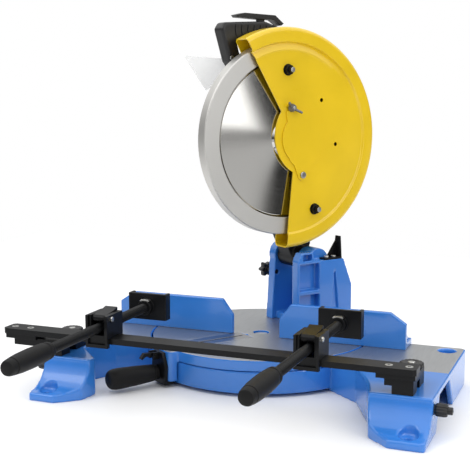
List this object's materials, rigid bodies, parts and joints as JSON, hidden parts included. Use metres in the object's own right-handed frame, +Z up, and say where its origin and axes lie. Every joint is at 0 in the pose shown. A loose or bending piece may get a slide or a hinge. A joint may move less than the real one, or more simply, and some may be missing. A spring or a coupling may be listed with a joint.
{
  "type": "mitre saw",
  "caption": "Metal-cutting mitre saw: guarded blade on a spring-raised arm over a swivelling table, with a fence and two screw clamps on a front rail.",
  "frame": {"origin": "on the bench, under the turntable's axis", "axes": "+X right along the fence, +Y to the back, +Z up from the bench"},
  "size_m": [0.796, 0.8559, 0.677],
  "materials": {
    "blue_casting": "gloss enamel over casting",
    "yellow_guard": "gloss powder coat",
    "black_paint": "satin",
    "bright_steel": "polished",
    "steel": "machined",
    "zinc": "zinc plated",
    "blade_steel": "ground",
    "black_plastic": "moulded",
    "rubber_black": "moulded",
    "clear_plastic": "clear",
    "iron": "laminated"
  },
  "bodies": {
    "base": {"base_casting": "blue_casting", "fence": "blue_casting", "fence_bolts": "zinc", "pivot_bolt": "zinc", "detent_plate": "black_paint", "vise_rail": "black_paint", "rail_brackets": "black_paint", "rail_screws": "zinc"},
    "side_screw_left": {"side_screw_left": "black_plastic"},
    "side_screw_right": {"side_screw_right": "black_plastic"},
    "rail_knob_left": {"rail_knob_left": "black_plastic"},
    "rail_knob_right": {"rail_knob_right": "black_plastic"},
    "turntable": {"turntable": "blue_casting", "kerf_plate": "steel", "pivot_column": "blue_casting", "pivot_shaft": "steel", "return_spring": "steel", "stop_bracket": "black_paint", "stop_bracket_screws": "zinc", "mitre_bracket": "black_paint"},
    "hold_down_pin": {"hold_down_pin": "black_plastic"},
    "mitre_grip": {"mitre_grip": "rubber_black"},
    "detent_lever": {"detent_lever": "zinc"},
    "saw_head": {"head_arm": "black_paint", "gearbox_housing": "black_paint", "arbor_bearings": "steel", "armature_bearings": "steel", "motor_housing": "black_plastic", "motor_end_cap": "black_plastic", "brush_caps": "black_plastic", "field_core": "iron", "cord_gland": "rubber_black", "upper_guard": "yellow_guard", "guard_studs": "zinc", "cover_screw": "zinc", "handle": "black_plastic", "chip_deflector": "clear_plastic"},
    "arbor_cover": {"arbor_cover": "yellow_guard"},
    "wing_nut": {"wing_nut": "zinc"},
    "lower_guard": {"lower_guard": "bright_steel"},
    "blade": {"saw_blade": "blade_steel", "blade_flanges": "steel", "arbor_bolt": "zinc", "arbor_spindle": "steel", "drive_gear": "steel"},
    "armature": {"armature": "iron", "cooling_fan": "black_plastic"},
    "trigger": {"trigger": "black_plastic"},
    "lock_paddle": {"lock_paddle": "black_plastic"},
    "clamp_block_left": {"clamp_block_left": "black_paint"},
    "half_nut_left": {"half_nut_left": "black_paint"},
    "clamp_pad_left": {"clamp_pad_left": "black_paint"},
    "clamp_screw_left": {"clamp_screw_left": "black_paint", "clamp_grip_left": "rubber_black"},
    "clamp_block_right": {"clamp_block_right": "black_paint"},
    "half_nut_right": {"half_nut_right": "black_paint"},
    "clamp_pad_right": {"clamp_pad_right": "black_paint"},
    "clamp_screw_right": {"clamp_screw_right": "black_paint", "clamp_grip_right": "rubber_black"}
  },
  "joints": [
    {"name": "mitre_swing", "type": "hinge", "parent": "base", "child": "turntable", "pos_m": [0, 0, 0.06], "axis": [0, 0, 1], "range_deg": [-10, 80]},
    {"name": "head_chop", "type": "hinge", "parent": "turntable", "child": "saw_head", "pos_m": [0.06768, 0.09666, 0.2], "axis": [0.8192, -0.5736, 0], "range_deg": [0, 66], "stiffness_Nm_per_rad": 34, "springref_deg": -40.11},
    {"name": "blade_spin", "type": "hinge", "parent": "saw_head", "child": "blade", "pos_m": [0.02868, 0.04096, 0.441], "axis": [0.8192, -0.5736, 0], "continuous": true},
    {"name": "armature_spin", "type": "hinge", "parent": "saw_head", "child": "armature", "pos_m": [-0.06194, 0.17305, 0.46603], "axis": [0.8192, -0.5736, 0], "continuous": true},
    {"name": "lower_guard_retract", "type": "hinge", "parent": "saw_head", "child": "lower_guard", "pos_m": [0.03851, 0.03408, 0.441], "axis": [0.8192, -0.5736, 0], "range_deg": [-158.4, 0]},
    {"name": "trigger_pull", "type": "slide", "parent": "saw_head", "child": "trigger", "axis": [0, 0, 1], "range_m": [0, 0.006], "stiffness_N_per_m": 800, "springref_m": -0.003},
    {"name": "lock_paddle_press", "type": "hinge", "parent": "saw_head", "child": "lock_paddle", "pos_m": [-0.02195, 0.04711, 0.656], "axis": [0.8192, -0.5736, 0], "range_deg": [0, 8], "stiffness_Nm_per_rad": 1.5, "springref_deg": -11.46},
    {"name": "arbor_cover_swing", "type": "hinge", "parent": "saw_head", "child": "arbor_cover", "pos_m": [0.06325, 0.05459, 0.371], "axis": [0.8192, -0.5736, 0], "range_deg": [-75, 0]},
    {"name": "wing_nut_turn", "type": "hinge", "parent": "saw_head", "child": "wing_nut", "pos_m": [0.0517, 0.0285, 0.5], "axis": [0.8192, -0.5736, 0], "range_deg": [0, 360]},
    {"name": "hold_down_push", "type": "slide", "parent": "turntable", "child": "hold_down_pin", "axis": [0.8192, -0.5736, 0], "range_m": [0, 0.009]},
    {"name": "detent_lever_press", "type": "hinge", "parent": "turntable", "child": "detent_lever", "pos_m": [-0.13602, -0.19774, 0.058], "axis": [0.8192, -0.5736, 0], "range_deg": [0, 10], "stiffness_Nm_per_rad": 0.5, "springref_deg": -11.46},
    {"name": "mitre_grip_twist", "type": "hinge", "parent": "turntable", "child": "mitre_grip", "pos_m": [-0.16306, -0.23985, 0.025], "axis": [-0.5736, -0.8192, 0], "range_deg": [-180, 180]},
    {"name": "rail_knob_left_turn", "type": "hinge", "parent": "base", "child": "rail_knob_left", "pos_m": [-0.283, -0.232, 0.098], "axis": [0, 0, 1], "range_deg": [0, 360]},
    {"name": "side_screw_left_turn", "type": "hinge", "parent": "base", "child": "side_screw_left", "pos_m": [-0.3, -0.284, 0.046], "axis": [1, 0, 0], "range_deg": [0, 360]},
    {"name": "clamp_block_left_slide", "type": "slide", "parent": "base", "child": "clamp_block_left", "axis": [-1, 0, 0], "range_m": [-0.12, 0.075]},
    {"name": "half_nut_left_lift", "type": "hinge", "parent": "clamp_block_left", "child": "half_nut_left", "pos_m": [-0.182, -0.306, 0.145], "axis": [1, 0, 0], "range_deg": [0, 60]},
    {"name": "clamp_pad_left_slide", "type": "slide", "parent": "clamp_block_left", "child": "clamp_pad_left", "axis": [0, 1, 0], "range_m": [-0.11, 0.075]},
    {"name": "clamp_screw_left_turn", "type": "hinge", "parent": "clamp_pad_left", "child": "clamp_screw_left", "pos_m": [-0.182, -0.3, 0.129], "axis": [0, 1, 0], "continuous": true},
    {"name": "rail_knob_right_turn", "type": "hinge", "parent": "base", "child": "rail_knob_right", "pos_m": [0.342, -0.232, 0.098], "axis": [0, 0, 1], "range_deg": [0, 360]},
    {"name": "side_screw_right_turn", "type": "hinge", "parent": "base", "child": "side_screw_right", "pos_m": [0.39, -0.284, 0.046], "axis": [1, 0, 0], "range_deg": [0, 360]},
    {"name": "clamp_block_right_slide", "type": "slide", "parent": "base", "child": "clamp_block_right", "axis": [1, 0, 0], "range_m": [-0.12, 0.075]},
    {"name": "half_nut_right_lift", "type": "hinge", "parent": "clamp_block_right", "child": "half_nut_right", "pos_m": [0.193, -0.306, 0.145], "axis": [1, 0, 0], "range_deg": [0, 60]},
    {"name": "clamp_pad_right_slide", "type": "slide", "parent": "clamp_block_right", "child": "clamp_pad_right", "axis": [0, 1, 0], "range_m": [-0.11, 0.075]},
    {"name": "clamp_screw_right_turn", "type": "hinge", "parent": "clamp_pad_right", "child": "clamp_screw_right", "pos_m": [0.193, -0.3, 0.129], "axis": [0, 1, 0], "continuous": true}
  ],
  "couplings": [
    {"joint": "armature_spin", "follows": "blade_spin", "ratio": -5},
    {"joint": "lower_guard_retract", "follows": "head_chop", "ratio": -2.4}
  ]
}
